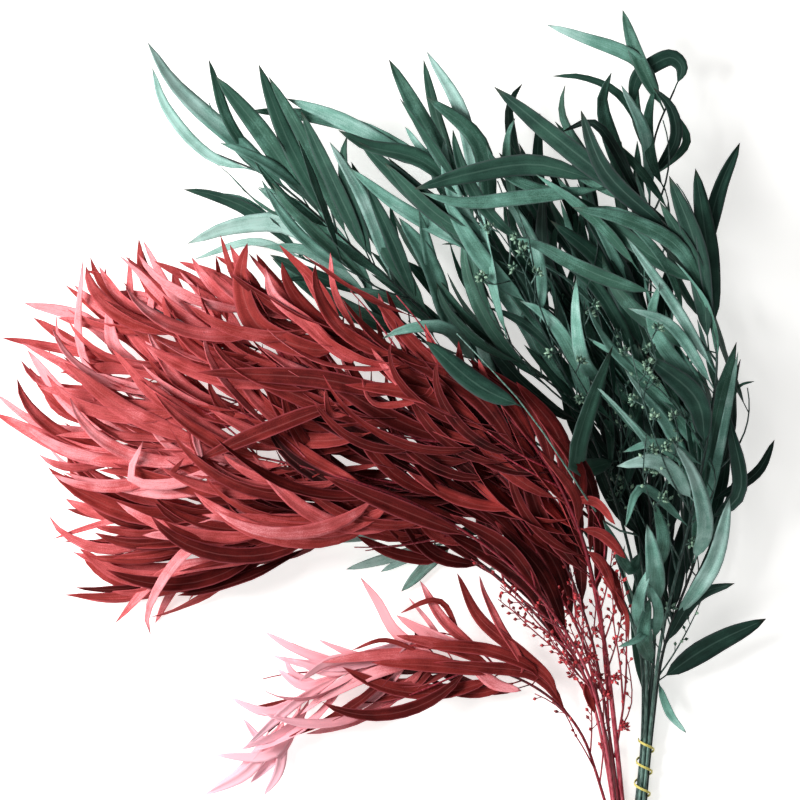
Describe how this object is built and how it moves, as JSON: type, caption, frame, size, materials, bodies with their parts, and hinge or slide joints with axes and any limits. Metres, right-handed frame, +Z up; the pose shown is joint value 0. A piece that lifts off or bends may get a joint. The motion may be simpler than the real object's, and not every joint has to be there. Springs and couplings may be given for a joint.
{
  "type": "bunch of dried eucalyptus",
  "caption": "Bunch of dyed, dried willow eucalyptus lying flat: long sickle leaves on green and crimson stems, held at the cut ends by a yellow tie.",
  "frame": {"origin": "on the surface that the bunch lies on, under the middle of its bounding box", "axes": "+Y from the cut ends to the leaf tips, +Z up from the surface, +X to the right as seen from above with the cut ends near the viewer"},
  "size_m": [0.626, 0.709, 0.148],
  "materials": {
    "green_leaf": "matte, dyed dry leaf",
    "red_leaf": "matte, dyed dry leaf",
    "yellow_band": "satin"
  },
  "bodies": {
    "root": {"green_stem_1": "green_leaf", "green_stem_2": "green_leaf", "green_stem_3": "green_leaf", "green_stem_4": "green_leaf", "green_stem_5": "green_leaf", "green_stem_6": "green_leaf", "green_stem_7": "green_leaf", "red_stem_1": "red_leaf", "red_stem_2": "red_leaf", "red_stem_3": "red_leaf", "red_stem_4": "red_leaf", "red_stem_5": "red_leaf", "red_stem_6": "red_leaf", "red_stem_7": "red_leaf", "bunch_tie": "yellow_band", "green_winding": "yellow_band"}
  },
  "joints": []
}
